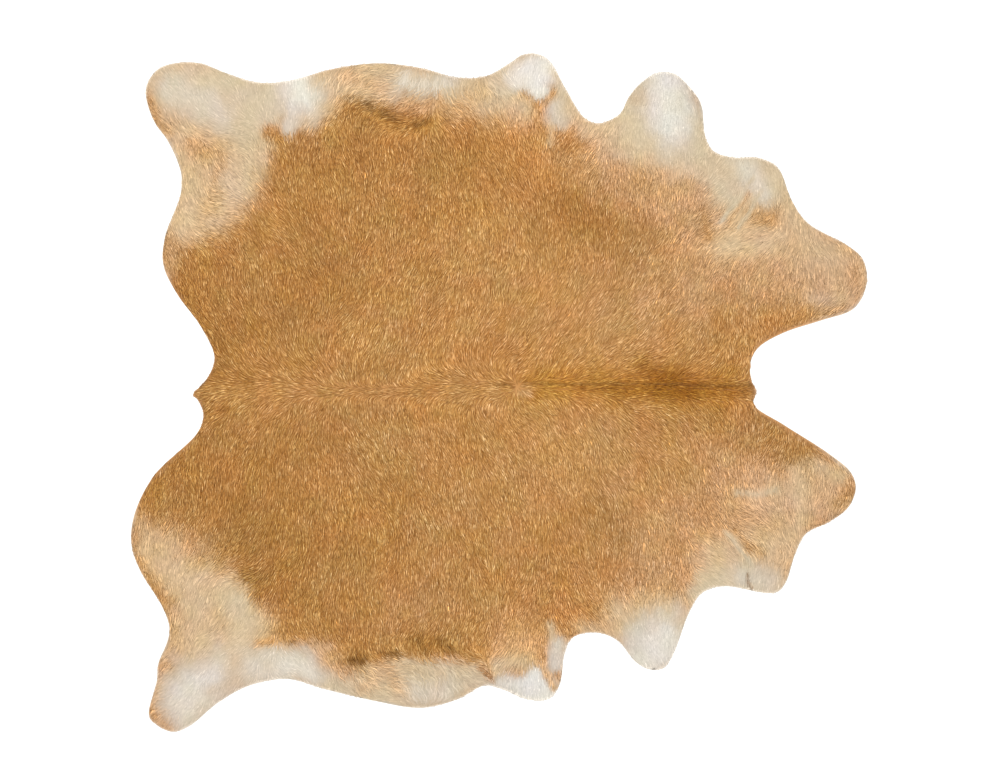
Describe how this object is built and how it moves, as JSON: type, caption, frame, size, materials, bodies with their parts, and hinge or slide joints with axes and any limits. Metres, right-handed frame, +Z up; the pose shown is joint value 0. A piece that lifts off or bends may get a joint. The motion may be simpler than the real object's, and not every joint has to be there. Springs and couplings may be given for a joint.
{
  "type": "cowhide rug",
  "caption": "Whole hair-on cowhide lying flat: caramel coat with cream legs and flanks, lobed cut rim, notched neck end and a plain flesh side to rest on.",
  "frame": {"origin": "middle of the hide's length and width, on the floor under it", "axes": "+X along the spine towards the neck, +Y to the hide's side, +Z up out of the hair side"},
  "size_m": [2.3008, 2.1202, 0.0117],
  "materials": {
    "coat": "short glossy caramel cow hair lying flat, cream at the legs and flanks",
    "flesh_side": "matt off-white suede of chrome-tanned leather, with a pale cut edge"
  },
  "bodies": {
    "root": {"hide": "coat"}
  },
  "joints": []
}
